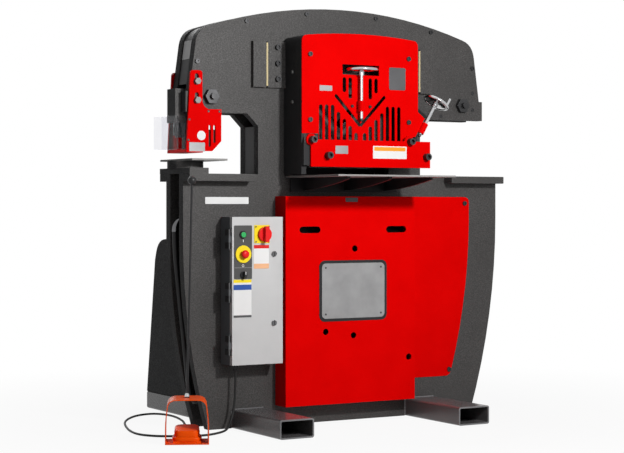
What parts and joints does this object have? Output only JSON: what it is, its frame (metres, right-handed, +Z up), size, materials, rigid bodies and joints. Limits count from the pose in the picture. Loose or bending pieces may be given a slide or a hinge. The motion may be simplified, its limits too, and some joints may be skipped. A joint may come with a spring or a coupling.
{
  "type": "ironworker machine",
  "caption": "Hydraulic ironworker with an arched plate frame, punch throat, guarded angle and flat bar shear, open tool throat, control box and guarded foot switch.",
  "frame": {"origin": "on the floor, midway between the two side plates and under the crown of the arch", "axes": "+X along the plates to the open tool station, +Y to the back, +Z up"},
  "size_m": [1.7616, 1.241, 1.725],
  "materials": {
    "frame_paint": "hammertone",
    "black_paint": "satin",
    "red_paint": "gloss",
    "dark_steel": "black oxide",
    "tool_steel": "ground",
    "chrome": "polished",
    "wear_strip": "satin",
    "clear_sheet": "clear",
    "box_grey": "powder coat",
    "box_dark": "powder coat",
    "legend_black": "matt",
    "yellow_plastic": "gloss",
    "red_plastic": "gloss",
    "green_plastic": "gloss",
    "black_plastic": "satin",
    "orange_paint": "gloss",
    "hose_rubber": "matt"
  },
  "bodies": {
    "frame": {"gib_plates": "frame_paint", "front_frame_plate": "frame_paint", "rear_frame_plate": "frame_paint", "frame_spacers": "frame_paint", "left_fork_tube": "frame_paint", "right_fork_tube": "frame_paint", "table_bars": "frame_paint", "die_base": "frame_paint", "cylinder_barrel": "frame_paint", "rear_cover": "frame_paint", "inner_covers": "black_paint", "shear_housing": "black_paint", "table_gussets": "black_paint", "oil_tank": "black_paint", "motor": "black_paint", "pump_block": "black_paint", "upper_guard": "red_paint", "lower_guard": "red_paint", "screw_bushes": "red_paint", "front_cover": "red_paint", "wing_cover": "red_paint", "frame_bolts": "dark_steel", "gib_screws": "dark_steel", "die_table": "dark_steel", "door_hinges": "dark_steel", "lower_blades": "tool_steel", "punch_die": "tool_steel", "shear_table": "tool_steel", "wear_strips": "wear_strip", "control_box": "box_dark", "cord_gland": "black_plastic", "pedal_rod": "black_plastic", "pedal_guard": "orange_paint", "pedal_switch": "orange_paint", "hydraulic_hoses": "hose_rubber", "pedal_cord": "hose_rubber"},
    "ram": {"ram_beam": "frame_paint", "upper_blades": "tool_steel", "punch_coupling": "dark_steel", "punch": "tool_steel", "pull_yoke": "frame_paint", "cylinder_rod": "chrome"},
    "stripper": {"stripper_front_plate": "red_paint", "stripper_rear_plate": "red_paint", "clear_guard": "clear_sheet"},
    "vertical_pad_body": {"vertical_pad": "dark_steel"},
    "vertical_wheel": {"vertical_screw": "chrome"},
    "inclined_pad_body": {"inclined_pad": "dark_steel"},
    "inclined_wheel": {"inclined_screw": "chrome"},
    "shaft": {"motor_shaft": "tool_steel"},
    "door": {"control_door": "box_grey", "legend_panel": "legend_black", "yellow_plates": "yellow_plastic"},
    "upper_latch_body": {"upper_latch": "chrome"},
    "lower_latch_body": {"lower_latch": "chrome"},
    "isolator": {"disconnect_handle": "red_plastic"},
    "start": {"start_button": "green_plastic"},
    "stop": {"estop_button": "red_plastic"},
    "selector": {"selector_knob": "black_plastic"},
    "pedal": {"treadle": "orange_paint"}
  },
  "joints": [
    {"name": "ram_stroke", "type": "slide", "parent": "frame", "child": "ram", "axis": [0, 0, -1], "range_m": [0, 0.045]},
    {"name": "stripper_adjust", "type": "slide", "parent": "frame", "child": "stripper", "axis": [0, 0, -1], "range_m": [0, 0.022]},
    {"name": "vertical_pad_feed", "type": "slide", "parent": "frame", "child": "vertical_pad_body", "axis": [0, 0, 1], "range_m": [-0.008, 0.008]},
    {"name": "vertical_wheel_turn", "type": "hinge", "parent": "vertical_pad_body", "child": "vertical_wheel", "pos_m": [-0.006, -0.247, 1.462], "axis": [0, 0, 1], "range_deg": [-720, 720]},
    {"name": "inclined_pad_feed", "type": "slide", "parent": "frame", "child": "inclined_pad_body", "axis": [0.515, 0, 0.8572], "range_m": [-0.006, 0.012]},
    {"name": "inclined_wheel_turn", "type": "hinge", "parent": "inclined_pad_body", "child": "inclined_wheel", "pos_m": [0.288, -0.233, 1.193], "axis": [0.515, 0, 0.8572], "range_deg": [-540, 1080]},
    {"name": "motor_spin", "type": "hinge", "parent": "frame", "child": "shaft", "pos_m": [-0.025, 0.4, 0.51], "axis": [1, 0, 0], "continuous": true},
    {"name": "door_swing", "type": "hinge", "parent": "frame", "child": "door", "pos_m": [-0.576, -0.1673, 0.555], "axis": [0, 0, -1], "range_deg": [0, 110]},
    {"name": "upper_latch_turn", "type": "hinge", "parent": "door", "child": "upper_latch_body", "pos_m": [-0.379, -0.1773, 0.708], "axis": [0, 1, 0], "range_deg": [0, 90]},
    {"name": "lower_latch_turn", "type": "hinge", "parent": "door", "child": "lower_latch_body", "pos_m": [-0.379, -0.1773, 0.429], "axis": [0, 1, 0], "range_deg": [0, 90]},
    {"name": "isolator_turn", "type": "hinge", "parent": "door", "child": "isolator", "pos_m": [-0.425, -0.1773, 0.787], "axis": [0, 1, 0], "range_deg": [0, 90]},
    {"name": "start_press", "type": "slide", "parent": "door", "child": "start", "axis": [0, 1, 0], "range_m": [0, 0.004], "stiffness_N_per_m": 400},
    {"name": "stop_press", "type": "slide", "parent": "door", "child": "stop", "axis": [0, 1, 0], "range_m": [0, 0.006]},
    {"name": "selector_turn", "type": "hinge", "parent": "door", "child": "selector", "pos_m": [-0.519, -0.1773, 0.625], "axis": [0, 1, 0], "range_deg": [-45, 45]},
    {"name": "treadle_press", "type": "hinge", "parent": "frame", "child": "pedal", "pos_m": [-0.82901, -0.30116, 0.034], "axis": [0.8988, -0.4384, 0], "range_deg": [0, 6], "stiffness_Nm_per_rad": 40}
  ],
  "couplings": [
    {"joint": "vertical_pad_feed", "follows": "vertical_wheel_turn", "m_per_rad": 0.00063662},
    {"joint": "inclined_pad_feed", "follows": "inclined_wheel_turn", "m_per_rad": 0.00063662}
  ]
}
